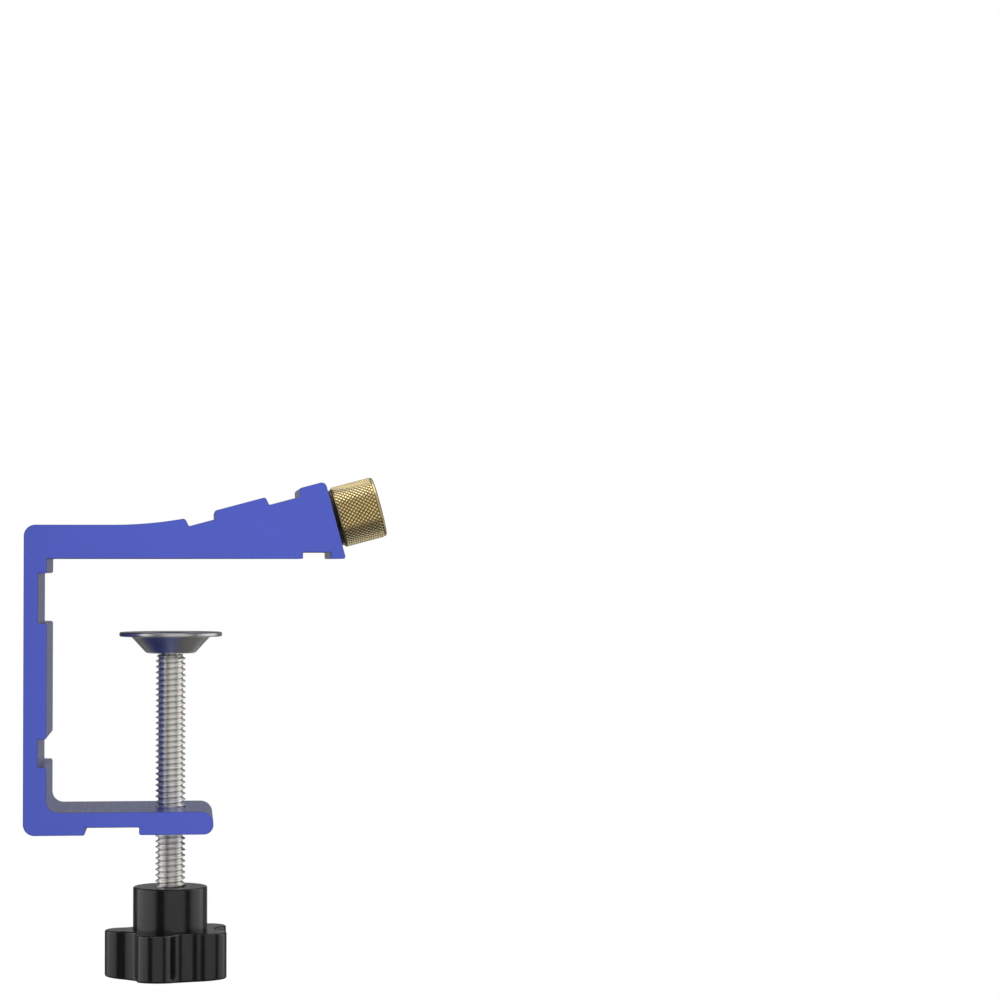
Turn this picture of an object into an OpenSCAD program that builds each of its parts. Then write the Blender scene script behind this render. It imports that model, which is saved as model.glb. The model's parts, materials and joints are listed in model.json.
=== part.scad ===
// Pocket hole jig: a C-shaped clamp frame with a slanted drill bush and a screw that grips the board.
// Lengths are in millimetres. The origin is the inner corner where the fence meets the work face,
// half way across the frame. +X runs along the board away from the fence, +Y across it, +Z up.

/* [Clamp frame] */
// Width of the extruded frame, across the board
frame_w = 38; // [30:1:60]
// Thickness of the fence wall
fence_t = 6; // [5:0.5:9]
// Thickness of the lower arm
lower_arm_t = 6; // [5:0.5:9]
// Thickness of the upper arm next to the fence
upper_arm_t = 8.9; // [8:0.1:12]
// Height of the throat, from the lower arm to the work face
throat_h = 66; // [60:1:90]
// Length of the lower arm past the axis of the clamp screw
lower_arm_tip = 11.3; // [8:0.1:16]
// Radius of the outer corners behind the fence
outer_corner_r = 3; // [1:0.5:5]
// Radius in the lower inner corner
inner_corner_r = 3; // [1:0.5:6]
// Radius on top of the lower arm's end
tip_top_r = 3.3; // [0.5:0.1:3.5]
// Radius under the lower arm's end
tip_under_r = 2.5; // [0.5:0.1:2.6]

/* [Ramp] */
// Angle between the drill and the work face, in degrees
drill_angle = 15; // [13:0.5:17]
// Flat length of the upper arm before it starts to rise
flat_l = 17; // [12:0.5:24]
// Length of the hollow curve that leads from the flat to the ramp
curve_l = 19.2; // [15:0.1:25]
// Rise of the hollow curve
curve_rise = 1.78; // [1:0.01:2.4]
// Width of the lower groove across the ramp, at its floor
groove_a_w = 7; // [4:0.1:9]
// Distance between the floors of the two grooves, over the land
land_w = 14.7; // [10:0.1:20]
// Width of the upper groove across the ramp, at its floor
groove_b_w = 8.3; // [4:0.1:10]
// Distance from the upper groove's floor to the end face, over the nose
nose_w = 7.5; // [5:0.1:10]
// Depth of both grooves
groove_depth = 2.2; // [1:0.1:2.6]
// Lean of the grooves' walls, in degrees
groove_draft = 12; // [0:1:20]
// Radius on the edges of the grooves
groove_edge_r = 0.7; // [0.3:0.1:1.2]
// Radius on the nose
nose_r = 1.4; // [0.5:0.1:3]
// Radius at the foot of the end face
foot_r = 0.6; // [0.2:0.1:1.5]

/* [Recesses] */
// Height of the recess in the upper part of the fence
upper_recess_w = 13; // [8:0.5:16]
// Distance of that recess below the work face
upper_recess_drop = 3.8; // [2:0.1:8]
// Height of the recess in the lower part of the fence
lower_recess_w = 7.2; // [4:0.1:10]
// Distance of that recess above the lower arm
lower_recess_rise = 11.8; // [8:0.1:16]
// Width of the recess under the lower arm
under_recess_w = 14; // [8:0.5:16]
// Distance of that recess from the fence face
under_recess_x = 10; // [6:0.5:11]
// Width of the chip groove in the work face
chip_groove_w = 7.3; // [4:0.1:9]
// Length of work face left in front of the chip groove
chip_land = 4; // [3:0.1:6]
// Depth of the recesses in the fence
fence_recess_depth = 2.2; // [1:0.1:3]
// Depth of the recess under the lower arm
under_recess_depth = 2; // [1:0.1:3]
// Depth of the chip groove
chip_groove_depth = 1.7; // [0.8:0.1:2.4]
// Radius on the edges of the recesses
recess_edge_r = 0.6; // [0.2:0.1:1]
// Radius on the edges of the chip groove
chip_edge_r = 0.3; // [0.1:0.1:0.6]

/* [Drill bush] */
// Diameter of the drill that the bush guides
drill_d = 9.5; // [8:0.1:10]
// Distance of the drill's axis below the ramp
bush_drop = 10; // [9:0.1:12]
// Diameter of the head
bush_head_d = 16.5; // [14:0.1:18]
// Diameter of the plain collar between the head and the frame
bush_collar_d = 15.5; // [13:0.1:18]
// Diameter of that collar where it meets the frame
bush_foot_d = 14.2; // [13:0.1:18]
// Length of the plain collar
bush_collar_l = 1.5; // [1:0.1:5]
// Length of the knurled grip
bush_grip_l = 11.7; // [6:0.1:16]
// Diameter of the sleeve that screws into the frame
bush_sleeve_d = 12; // [11.5:0.1:13]
// Length of the sleeve
bush_sleeve_l = 14; // [10:0.5:16]
// Radius on the outer edge of the head
bush_rim_r = 0.6; // [0.2:0.1:1.5]
// Width of the chamfer where the drill enters
bush_lead_in = 0.8; // [0.2:0.1:1.5]

/* [Clamp screw] */
// Diameter over the thread
screw_d = 8; // [6:0.5:10]
// Distance between two turns of the thread
thread_pitch = 1.5; // [1:0.25:2]
// Depth of the thread
thread_depth = 0.8; // [0.4:0.1:1.2]
// Distance of the screw's axis from the fence
screw_x = 32; // [28:0.5:40]
// Length of thread between the pad and the knob
screw_l = 61.8; // [58:0.1:90]
// Width across the flats of the hexagon head
hex_w = 13; // [11:0.5:15]
// Height of the hexagon head
hex_h = 5.3; // [4:0.1:7]
// Distance of the head above the lower end of the knob's lobes
head_recess = 1.3; // [0.5:0.1:3]
// Diameter of the turned neck that carries the pad
neck_d = 5; // [4:0.1:6]
// Diameter of the peened end above the washer
peen_d = 7.6; // [6.5:0.1:8.5]
// Height of the peened end
peen_h = 1.4; // [1.1:0.1:2]
// Radius on the peened end
peen_edge_r = 1; // [0.3:0.1:1]
// Diameter of the retaining washer
washer_d = 10; // [8.5:0.1:10]
// Thickness of the retaining washer
washer_t = 1; // [0.5:0.1:1.5]

/* [Swivel pad] */
// Opening between the work face and the pad, as drawn
grip = 19.5; // [12:0.5:25]
// Diameter of the pad
pad_d = 27.3; // [24:0.1:34]
// Height of the pad, from its floor to its face
pad_h = 5.66; // [5.3:0.01:7]
// Thickness of the pad's sheet
pad_sheet = 1.2; // [0.8:0.1:1.5]
// Outer diameter of the cone under the flange
pad_cone_d = 21.1; // [19:0.1:22]
// Outer diameter of the pad's floor
pad_floor_d = 12.9; // [11:0.1:15]
// Outer radius of the bends in the pad
pad_bend_r = 1.4; // [0.4:0.1:1.6]
// Inner radius of the bends in the pad
pad_inner_bend_r = 0.7; // [0.2:0.1:0.8]
// Radius on the rim of the flange
pad_rim_r = 0.4; // [0.1:0.1:0.5]

/* [Knob] */
// Number of lobes
lobes = 5; // [4:1:7]
// Direction of the first lobe: 180 is towards the fence
first_lobe = 180; // [0:1:360]
// Distance from the axis to the tip of a lobe
lobe_reach = 17.3; // [15:0.1:22]
// Radius of a lobe
lobe_r = 4.9; // [4:0.1:6]
// Radius of the hollow between two lobes
hollow_r = 5; // [3:0.1:8]
// Height of the lobed grip at the tips of the lobes
lobe_h = 12.3; // [8.5:0.1:18]
// Height of the cone on the knob's lower end
knob_crown = 0.9; // [0.5:0.1:2]
// Diameter of the flat in the middle of that cone
crown_flat_d = 17; // [16:0.5:20]
// Diameter of the boss
boss_d = 19.7; // [17:0.1:22]
// Height of the boss
boss_h = 11.4; // [6:0.1:16]
// Radius on the top edge of the boss
boss_edge_r = 0.4; // [0.2:0.1:2]

/* [Fits] */
// Radial clearance of the drill in the bush
drill_clearance = 0.05; // [0.02:0.01:0.1]
// Radial clearance of the drill in the frame, past the bush
passage_clearance = 0.25; // [0.1:0.05:0.5]
// Radial clearance of the bush's sleeve in its seat
seat_clearance = 0.05; // [0.01:0.01:0.1]
// Radial clearance of the screw in the lower arm
screw_clearance = 0.05; // [0.02:0.01:0.1]
// Clearance of the hexagon head and the shank in the knob
knob_clearance = 0.05; // [0.02:0.01:0.2]
// Radial clearance of the neck in the washer
washer_clearance = 0.1; // [0.05:0.05:0.2]
// Play under the peened end
peen_clearance = 0.05; // [0.02:0.01:0.1]
// Play above and below the pad's floor that lets it rock
rock_clearance = 0.3; // [0.25:0.05:0.4]
// Radial play of the neck in the pad's floor
pad_hole_clearance = 0.4; // [0.3:0.05:0.6]

/* [Hidden] */
$fn = 128;
// How far a cut runs past the surface that it opens
past = 1;
// How far an arc reaches over the lines or arcs that it joins, so that they cross in clear points
overlap = 0.001;

// Directions up the ramp and square to it
up_ramp = [cos(drill_angle), sin(drill_angle)];
off_ramp = [-sin(drill_angle), cos(drill_angle)];
// Start of the ramp, its upper end at the nose, and the foot of the end face on the work face
ramp_start = [flat_l + curve_l, upper_arm_t + curve_rise];
ramp_l = groove_a_w + land_w + groove_b_w + nose_w;
nose = ramp_start + ramp_l * up_ramp;
foot = [nose.x + nose.y * tan(drill_angle), 0];
// Radius of the hollow curve, which leaves the flat without a kink and meets the start of the ramp
curve_r = round(100 * (curve_l ^ 2 + curve_rise ^ 2) / (2 * curve_rise)) / 100;
groove_a_mid = ramp_start + groove_a_w / 2 * up_ramp;
groove_b_mid = nose - (nose_w + groove_b_w / 2) * up_ramp;
// Underside and end of the lower arm
frame_low = -throat_h - lower_arm_t;
tip_x = screw_x + lower_arm_tip;
// Where the drill's axis leaves the end face
bush_seat = nose - bush_drop * off_ramp;
bore_r = drill_d / 2 + drill_clearance;
bush_head_l = bush_collar_l + bush_grip_l;
passage_r = drill_d / 2 + passage_clearance;
// Length along the axis at which the whole passage has left the work face
passage_l = bush_seat.y / sin(drill_angle) + passage_r / tan(drill_angle) + past;

// Heights of the pieces on the screw, with the pad at its drawn opening
pad_floor_low = -grip - pad_h;
pad_floor_top = pad_floor_low + pad_sheet;
washer_low = pad_floor_top + rock_clearance;
peen_low = washer_low + washer_t + peen_clearance;
shoulder = pad_floor_low - rock_clearance;
boss_top = shoulder - screw_l;
lobe_top = boss_top - boss_h;
knob_low = lobe_top - lobe_h;
hex_top = knob_low + head_recess + hex_h;
crown_low = knob_low - knob_crown;
// Slope of the pad's cone and the sideways thickness of its sheet there
cone_angle = atan2(pad_h - pad_sheet, (pad_cone_d - pad_floor_d) / 2);
cone_sheet = pad_sheet / sin(cone_angle);
// Centres of the lobes and of the hollows between them
lobe_ring = lobe_reach - lobe_r;
half_pitch = 180 / lobes;
hollow_ring = lobe_ring * cos(half_pitch)
    + sqrt((lobe_r + hollow_r - overlap) ^ 2 - (lobe_ring * sin(half_pitch)) ^ 2);

function unit(v) = v / norm(v);
function around(r, angle) = r * [cos(angle), sin(angle)];

// An arc of radius r that touches both edges of a corner: its centre, and the two points where it touches
function half_angle(edge_a, edge_b) = acos(edge_a * edge_b) / 2;
function arc_centre(at, edge_a, edge_b, r) =
    at + unit(edge_a + edge_b) * r / sin(half_angle(edge_a, edge_b));
function arc_ends(at, edge_a, edge_b, r) =
    [for (edge = [edge_a, edge_b]) at + edge * r / tan(half_angle(edge_a, edge_b))];

// The tip of a corner outside such an arc, which is taken away to round the corner
module corner_tip(at, edge_a, edge_b, r) {
    centre = arc_centre(at, edge_a, edge_b, r);
    ends = arc_ends(at, edge_a, edge_b, r);
    difference() {
        polygon([at - r / 2 * unit(edge_a + edge_b), ends[0], centre, ends[1]]);
        translate(centre) circle(r + overlap);
    }
}

// A slot with rounded edges, cut down from a surface that lies along y = 0. Its floor is w wide.
module surface_slot(w, depth, edge_r, draft = 0) {
    mouth = w / 2 + depth * tan(draft);
    polygon([
        [-w / 2, -depth], [w / 2, -depth], [mouth, 0], [mouth, past], [-mouth, past], [-mouth, 0],
    ]);
    for (side = [0, 1]) mirror([side, 0])
        corner_tip([mouth, 0], [1, 0], [-sin(draft), -cos(draft)], edge_r);
}

// Everything the frame's section loses above the hollow curve
module hollow_curve_cut() {
    intersection() {
        translate([flat_l, upper_arm_t - past])
            square([groove_a_mid.x - flat_l, groove_a_mid.y - upper_arm_t + 2 * past]);
        translate([flat_l, upper_arm_t + curve_r]) circle(curve_r);
    }
}

module frame_section() {
    rounded = [
        [[-fence_t, upper_arm_t], [1, 0], [0, -1], outer_corner_r],
        [[-fence_t, frame_low], [1, 0], [0, 1], outer_corner_r],
        [[tip_x, -throat_h], [-1, 0], [0, -1], tip_top_r],
        [[tip_x, frame_low], [-1, 0], [0, 1], tip_under_r],
        [nose, -up_ramp, -off_ramp, nose_r],
        [foot, [-1, 0], off_ramp, foot_r],
    ];
    inner_corner = [[0, -throat_h], [1, 0], [0, 1], inner_corner_r];
    difference() {
        polygon([
            [-fence_t, frame_low], [tip_x, frame_low], [tip_x, -throat_h],
            each arc_ends(inner_corner[0], inner_corner[1], inner_corner[2], inner_corner[3]), [0, 0],
            foot, nose, groove_a_mid, [flat_l, upper_arm_t], [-fence_t, upper_arm_t],
        ]);
        translate(arc_centre(inner_corner[0], inner_corner[1], inner_corner[2], inner_corner[3]))
            circle(inner_corner_r + overlap);
        hollow_curve_cut();
        translate(groove_a_mid) rotate(drill_angle)
            surface_slot(groove_a_w, groove_depth, groove_edge_r, groove_draft);
        translate(groove_b_mid) rotate(drill_angle)
            surface_slot(groove_b_w, groove_depth, groove_edge_r, groove_draft);
        translate([foot.x - chip_land - chip_groove_w / 2, 0]) rotate(180)
            surface_slot(chip_groove_w, chip_groove_depth, chip_edge_r);
        translate([0, -upper_recess_drop - upper_recess_w / 2]) rotate(-90)
            surface_slot(upper_recess_w, fence_recess_depth, recess_edge_r);
        translate([0, -throat_h + lower_recess_rise + lower_recess_w / 2]) rotate(-90)
            surface_slot(lower_recess_w, fence_recess_depth, recess_edge_r);
        translate([under_recess_x + under_recess_w / 2, frame_low]) rotate(180)
            surface_slot(under_recess_w, under_recess_depth, recess_edge_r);
        for (c = rounded) corner_tip(c[0], c[1], c[2], c[3]);
    }
}

// Places a turned piece that is drawn along +Z on the drill's axis, at the end face
module on_drill_axis() {
    translate([bush_seat.x, 0, bush_seat.y]) rotate([0, 90 - drill_angle, 0]) children();
}

// Places a turned piece that is drawn along +Z on the screw's axis
module on_screw_axis() {
    translate([screw_x, 0, 0]) children();
}

// Extruded aluminium, cut to length, then drilled for the bush and the screw
module clamp_frame() {
    color("#4d5cb9") difference() {
        rotate([90, 0, 0]) linear_extrude(frame_w, center = true) frame_section();
        on_drill_axis() {
            translate([0, 0, -bush_sleeve_l])
                cylinder(r = bush_sleeve_d / 2 + seat_clearance, h = bush_sleeve_l + past);
            translate([0, 0, -passage_l]) cylinder(r = passage_r, h = passage_l + past);
        }
        on_screw_axis() translate([0, 0, frame_low - past])
            cylinder(r = screw_d / 2 + screw_clearance, h = lower_arm_t + 2 * past);
    }
}

// Turned brass, with a bore that guides the drill
module guide_bush() {
    head_r = bush_head_d / 2;
    collar_r = bush_collar_d / 2;
    foot_r = bush_foot_d / 2;
    sleeve_r = bush_sleeve_d / 2;
    color("#b0945a") on_drill_axis() rotate_extrude() difference() {
        polygon([
            [bore_r, -bush_sleeve_l], [sleeve_r, -bush_sleeve_l], [sleeve_r, 0], [foot_r, 0],
            [collar_r, bush_collar_l], [head_r, bush_collar_l], [head_r, bush_head_l],
            [bore_r + bush_lead_in, bush_head_l], [bore_r, bush_head_l - bush_lead_in],
        ]);
        corner_tip([head_r, bush_head_l], [-1, 0], [0, -1], bush_rim_r);
    }
}

// Steel bolt whose far end is turned down, passed through the pad and peened over
module clamp_screw() {
    screw_r = screw_d / 2;
    neck_r = neck_d / 2;
    // The thread runs out in a chamfer that ends just outside the neck
    thread_end_r = (screw_r + neck_r) / 2;
    chamfer = screw_r - thread_end_r;
    // Rings with the thread's pitch and depth, counted down from the chamfer
    thread_top = shoulder - chamfer;
    root_r = screw_r - thread_depth;
    turns = floor((thread_top - boss_top) / thread_pitch);
    thread = [for (i = [turns : -1 : 1]) each [
        [screw_r, thread_top - thread_pitch * i], [root_r, thread_top - thread_pitch * (i - 0.5)],
    ]];
    color("#b4b2b0") on_screw_axis() {
        translate([0, 0, hex_top - hex_h]) cylinder(d = hex_w / cos(30), h = hex_h, $fn = 6);
        rotate_extrude() difference() {
            polygon(concat([[0, hex_top - hex_h / 2], [screw_r, hex_top - hex_h / 2]], thread, [
                [screw_r, thread_top], [thread_end_r, shoulder], [neck_r, shoulder],
                [neck_r, peen_low], [peen_d / 2, peen_low], [peen_d / 2, peen_low + peen_h],
                [0, peen_low + peen_h],
            ]));
            corner_tip([peen_d / 2, peen_low + peen_h], [-1, 0], [0, -1], peen_edge_r);
        }
    }
}

// Flat outline of the lobed grip
module lobed_outline() {
    for (i = [0 : lobes - 1]) {
        lobe_a = around(lobe_ring, first_lobe + 2 * half_pitch * i);
        lobe_b = around(lobe_ring, first_lobe + 2 * half_pitch * (i + 1));
        hollow = around(hollow_ring, first_lobe + half_pitch * (2 * i + 1));
        translate(lobe_a) circle(lobe_r);
        difference() {
            polygon([[0, 0], lobe_a, hollow, lobe_b]);
            translate(hollow) circle(hollow_r);
        }
    }
}

// Everything the lobed grip loses below its conical lower end
module crown_cut() {
    crown_flat_r = crown_flat_d / 2;
    slope = knob_crown / (lobe_reach - crown_flat_r);
    rotate_extrude() polygon([
        [crown_flat_r, crown_low], [crown_flat_r, crown_low - past], [lobe_reach + past, crown_low - past],
        [lobe_reach + past, knob_low + past * slope],
    ]);
}

// Moulded knob with a hexagon pocket that the bolt's head is pressed into from below
module knob() {
    pocket_w = hex_w + 2 * knob_clearance;
    color("#2b2b2c") on_screw_axis() difference() {
        union() {
            difference() {
                translate([0, 0, crown_low]) linear_extrude(knob_crown + lobe_h) lobed_outline();
                crown_cut();
            }
            rotate_extrude() difference() {
                translate([0, lobe_top - lobe_h / 2]) square([boss_d / 2, lobe_h / 2 + boss_h]);
                corner_tip([boss_d / 2, boss_top], [-1, 0], [0, -1], boss_edge_r);
            }
        }
        translate([0, 0, crown_low - past])
            cylinder(d = pocket_w / cos(30), h = hex_top - crown_low + past, $fn = 6);
        translate([0, 0, knob_low])
            cylinder(r = screw_d / 2 + knob_clearance, h = boss_top - knob_low + past);
    }
}

// Pressed steel dish that bears on the board
module swivel_pad() {
    hole_r = neck_d / 2 + pad_hole_clearance;
    flange_low = -grip - pad_sheet;
    floor_r = pad_floor_d / 2;
    cone_r = pad_cone_d / 2;
    up_cone = [cos(cone_angle), sin(cone_angle)];
    inner_floor_r = floor_r + pad_sheet / tan(cone_angle) - cone_sheet;
    inner_cone_r = cone_r + pad_sheet / tan(cone_angle) - cone_sheet;
    under_flange = [cone_r, flange_low];
    on_floor = [inner_floor_r, pad_floor_top];
    color("#8f9092") on_screw_axis() rotate_extrude() difference() {
        polygon([
            [hole_r, pad_floor_low], [floor_r, pad_floor_low],
            each arc_ends(under_flange, -up_cone, [1, 0], pad_inner_bend_r),
            [pad_d / 2, flange_low], [pad_d / 2, -grip], [inner_cone_r, -grip],
            each arc_ends(on_floor, up_cone, [-1, 0], pad_inner_bend_r), [hole_r, pad_floor_top],
        ]);
        translate(arc_centre(under_flange, -up_cone, [1, 0], pad_inner_bend_r))
            circle(pad_inner_bend_r + overlap);
        translate(arc_centre(on_floor, up_cone, [-1, 0], pad_inner_bend_r))
            circle(pad_inner_bend_r + overlap);
        corner_tip([floor_r, pad_floor_low], [-1, 0], up_cone, pad_bend_r);
        corner_tip([inner_cone_r, -grip], [1, 0], -up_cone, pad_bend_r);
        corner_tip([pad_d / 2, flange_low], [-1, 0], [0, 1], pad_rim_r);
        corner_tip([pad_d / 2, -grip], [-1, 0], [0, -1], pad_rim_r);
    }
}

// Flat washer between the pad's floor and the peened end
module retaining_washer() {
    color("#9a9a98") on_screw_axis() translate([0, 0, washer_low]) rotate_extrude()
        translate([neck_d / 2 + washer_clearance, 0])
            square([(washer_d - neck_d) / 2 - washer_clearance, washer_t]);
}

clamp_frame();
guide_bush();
clamp_screw();
knob();
swivel_pad();
retaining_washer();
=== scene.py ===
"""Looks of a pocket hole jig: clamp frame, drill bush, clamp screw, knob, swivel pad and washer.

Lengths are in metres, in the frame of the packed solids: the origin is the inner corner of the clamp,
+X runs away from the fence, +Y across the frame and +Z up.
"""
import json
import math

import bmesh
import bpy
from bpy.props import FloatProperty, FloatVectorProperty, IntProperty, PointerProperty
from mathutils import Matrix, Vector

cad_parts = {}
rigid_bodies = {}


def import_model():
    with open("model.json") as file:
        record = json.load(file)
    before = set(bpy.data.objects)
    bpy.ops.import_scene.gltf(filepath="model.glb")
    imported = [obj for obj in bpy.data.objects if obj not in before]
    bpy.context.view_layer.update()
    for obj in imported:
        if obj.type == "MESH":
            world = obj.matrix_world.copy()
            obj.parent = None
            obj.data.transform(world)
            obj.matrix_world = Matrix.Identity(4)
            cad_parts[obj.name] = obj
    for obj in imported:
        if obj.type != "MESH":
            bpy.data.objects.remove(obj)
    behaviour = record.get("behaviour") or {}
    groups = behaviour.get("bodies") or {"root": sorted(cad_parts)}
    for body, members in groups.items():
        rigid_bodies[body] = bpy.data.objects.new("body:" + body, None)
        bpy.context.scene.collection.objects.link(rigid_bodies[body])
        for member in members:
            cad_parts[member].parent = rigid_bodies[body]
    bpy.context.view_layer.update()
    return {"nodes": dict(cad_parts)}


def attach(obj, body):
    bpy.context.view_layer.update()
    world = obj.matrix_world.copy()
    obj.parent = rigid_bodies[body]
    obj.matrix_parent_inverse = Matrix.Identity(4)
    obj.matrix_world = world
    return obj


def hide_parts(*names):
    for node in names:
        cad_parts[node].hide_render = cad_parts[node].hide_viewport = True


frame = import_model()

bl_info = {
    "name": "Pocket hole jig",
    "version": (1, 0, 0),
    "blender": (4, 5, 0),
    "location": "3D View > Sidebar > Jig",
    "description": "Models a pocket hole jig around its packed solids",
    "category": "Object",
}

MM = 0.001
# Points closer than this are one point
WELD = 0.001 * MM
# Edges shorter than this are closed after a cut
SLIVER = 0.002 * MM
# Half the angle of a hexagon's flat, seen from its middle
HALF_FLAT = math.pi / 6
# Noise lies mostly between these two values, here as inputs of a map range
NOISE_RANGE = (("From Min", 0.3), ("From Max", 0.7))
# The studio stands round this point. Each light and card has its azimuth in degrees, 0 in front and 90 to
# the right, its distance and rise from the point, its width and height, and its watts or its colour
MIDDLE = Vector((0.04, 0, -0.045))
SOFTBOXES = {
    "light_left": (-87, 0.9, 0.12, (1.3, 0.9), 2.7),
    "light_right": (109, 0.9, 0.12, (1.2, 0.9), 2.2),
    "light_top": (0, 0.15, 0.9, (0.7, 0.7), 2.4),
}
CARDS = {
    "card_left": (-31, 0.28, 0, (0.13, 0.5), "#616161"),
    "card_right": (55, 0.28, 0, (0.09, 0.5), "#616161"),
    "card_back": (180, 0.38, 0, (1.2, 0.9), "#959595"),
    "card_back_left": (-140, 0.3, 0, (0.18, 0.5), "#616161"),
    "card_back_right": (140, 0.3, 0, (0.18, 0.5), "#7C7C7C"),
    "card_low": (0, 0, -0.115, (0.36, 0.36), "#858482"),
}


def linear(hex_colour):
    """Linear RGBA of an sRGB hex colour."""
    channels = [int(hex_colour[i:i + 2], 16) / 255 for i in (1, 3, 5)]
    return tuple(c / 12.92 if c <= 0.04045 else ((c + 0.055) / 1.055) ** 2.4 for c in channels) + (1.0,)


def length(name, default_mm, description):
    """A length property whose default is given in millimetres."""
    return FloatProperty(
        name=name, description=description, default=default_mm * MM, unit="LENGTH", precision=5)


def colour(name, hex_colour, description):
    """A colour property whose default is an sRGB hex value."""
    return FloatVectorProperty(
        name=name, description=description, default=linear(hex_colour), size=4, subtype="COLOR",
        min=0, max=1)


# Sizes and colours that a user would change

class JigFrameLook(bpy.types.PropertyGroup):
    """Clamp frame"""
    edge: length("Edge", 0.22, "Width of the broken edge all round the cut ends")
    anodised: colour("Anodised", "#3B51CA", "Blue of the cut and tumbled ends")
    # The drawn blue is the real dye made duller and greyer, as painted reflection of the grey these faces
    # mirror at a low angle
    drawn: colour("Drawn", "#4154AC", "Blue of the drawn faces between the die lines")
    # The deeper blue of the broken edges is painted shade: a dark reflection painted on the rounded edges
    broken_with_painted_shade: colour("Broken edge", "#171C50", "Deeper blue of the broken edges round the cut ends")
    die_line: length("Die lines", 0.45, "Spacing of the die lines along the drawn faces")


class JigBushLook(bpy.types.PropertyGroup):
    """Drill bush, on an axis that leans out of the end face of the ramp"""
    seat_x: length("Seat X", 75.010, "Where the axis leaves the end face, away from the fence")
    seat_z: length("Seat Z", 10.726, "Where the axis leaves the end face, above the work face")
    lean: FloatProperty(name="Lean", description="Angle between the axis and the work face",
                        default=math.radians(15), subtype="ANGLE")
    bore_r: length("Bore radius", 4.8, "Radius of the bore that guides the drill")
    sleeve_r: length("Sleeve radius", 6.0, "Radius of the sleeve in the frame")
    sleeve_l: length("Sleeve length", 14.0, "Length of the sleeve in the frame")
    collar_r: length("Collar radius", 7.75, "Radius of the plain collar next to the knurl")
    collar_low_r: length("Collar foot", 7.1, "Radius of the plain collar at the end face, a little less")
    collar_l: length("Collar length", 1.5, "Length of the plain collar")
    head_l: length("Head length", 13.2, "Length from the end face to the outer end")
    groove_r: length("Groove radius", 7.97, "Radius at the bottom of the knurl")
    rim_r: length("Rim radius", 0.6, "Radius on the outer edge")
    lead_in: length("Lead-in", 0.8, "Width of the chamfer where the drill enters")
    knurl_rise: length("Knurl rise", 0.26, "Height of the knurl's diamonds")
    knurl_wall: length("Knurl wall", 0.19, "Width of the slope round a diamond")
    knurl_round: IntProperty(
        name="Knurl round", description="Diamonds round the head", default=46, min=12)
    knurl_rows: IntProperty(
        name="Knurl rows", description="Rows of diamonds along the head", default=9, min=2)
    brass: colour("Brass", "#D3C293", "Colour of the turned brass")
    # Darker brown at the bottom of the knurl: painted shade in the grooves between the diamonds
    painted_groove_shade: colour("Tarnish", "#6E5B38", "Colour of the brass at the bottom of the knurl")


class JigScrewLook(bpy.types.PropertyGroup):
    """Clamp screw, on an upright axis"""
    axis_x: length("Axis X", 32.0, "Distance of the axis from the fence")
    thread_r: length("Thread radius", 4.0, "Radius over the thread")
    core_r: length("Core radius", 3.2, "Radius at the root of the thread")
    pitch: length("Pitch", 1.5, "Distance between two turns of the thread")
    start: length("Start", 0.8, "How far the thread is wound down from the shoulder")
    shoulder: length("Shoulder", -25.46, "Height of the shoulder under the pad")
    boss_top: length("Boss top", -87.26, "Height at which the screw leaves the knob")
    end_r: length("End radius", 3.25, "Radius of the shoulder inside its chamfer")
    neck_r: length("Neck radius", 2.5, "Radius of the neck that carries the pad")
    peen_r: length("Peen radius", 3.8, "Radius of the peened end")
    peen_low: length("Peen low", -22.61, "Height of the peened end's underside")
    peen_h: length("Peen height", 1.4, "Height of the peened end")
    peen_edge: length("Peen edge", 1.0, "Radius on the peened end")
    hex_w: length("Hexagon", 13.0, "Width across the flats of the head")
    hex_h: length("Head height", 5.3, "Height of the hexagon head")
    hex_low: length("Head low", -109.66, "Height of the head's lower face")
    zinc: colour("Zinc", "#ECEAE7", "Colour of the zinc plating")
    # Darker zinc in the root of the thread: painted shade
    painted_root_shade: colour("Root", "#A3A09C", "Colour of the plating in the root of the thread, where dirt stays")


class JigKnobLook(bpy.types.PropertyGroup):
    """Knob"""
    lobes: IntProperty(name="Lobes", description="Number of lobes", default=5, min=3)
    lobe_reach: length("Lobe reach", 17.3, "Distance from the axis to the tip of a lobe")
    lobe_r: length("Lobe radius", 4.9, "Radius of a lobe")
    hollow_r: length("Hollow radius", 5.0, "Radius of the hollow between two lobes")
    lobe_top: length("Lobe top", -98.66, "Height of the lobes' upper face")
    lobe_low: length("Lobe low", -110.96, "Height of the lobes' lower edge at the tips")
    crown: length("Crown", 0.9, "Height of the cone on the lower end")
    crown_flat_r: length("Crown flat", 8.5, "Radius of the flat in the middle of the cone")
    boss_r: length("Boss radius", 9.85, "Radius of the boss")
    boss_edge: length("Boss edge", 0.45, "Radius on the boss")
    lobe_edge: length("Lobe edge", 0.5, "Radius on the edges of the lobes")
    shank_r: length("Shank hole", 4.05, "Radius of the hole for the screw")
    pocket_gap: length("Pocket gap", 0.05, "Clearance round the hexagon head")
    black: colour("Black", "#0C0C0D", "Colour of the moulded plastic")


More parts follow.
